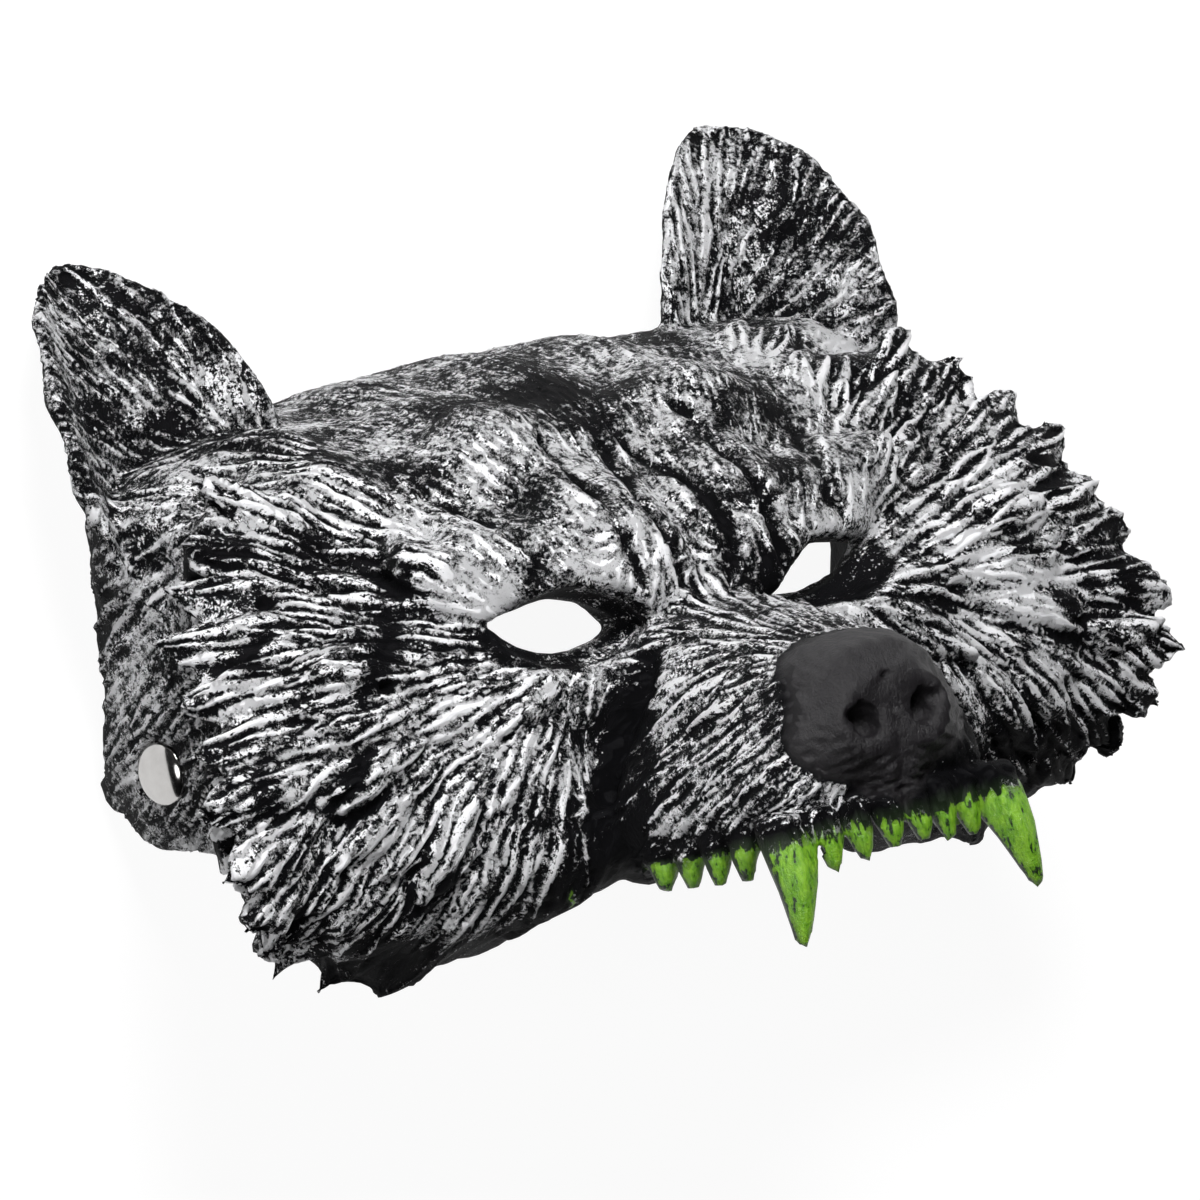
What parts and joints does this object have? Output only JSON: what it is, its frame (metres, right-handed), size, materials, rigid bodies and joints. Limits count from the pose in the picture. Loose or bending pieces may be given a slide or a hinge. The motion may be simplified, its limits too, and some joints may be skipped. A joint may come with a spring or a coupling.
{
  "type": "wolf half mask",
  "caption": "Hollow foam half mask shaped as a snarling wolf's head, with fur ruffs, ears, long muzzle, open eyes and an open jaw line.",
  "frame": {"origin": "on the table, under the middle of the mask's box, with the mask face up on its back edge", "axes": "+X to the wearer's left, +Y to the top of the head, +Z straight out of the face"},
  "size_m": [0.2652, 0.1782, 0.168],
  "materials": {
    "foam": "matt black foam with silver rubbed over the fur and green painted teeth",
    "rivet": "polished"
  },
  "bodies": {
    "root": {"mask": "foam", "rivet_right": "rivet", "rivet_left": "rivet"}
  },
  "joints": []
}
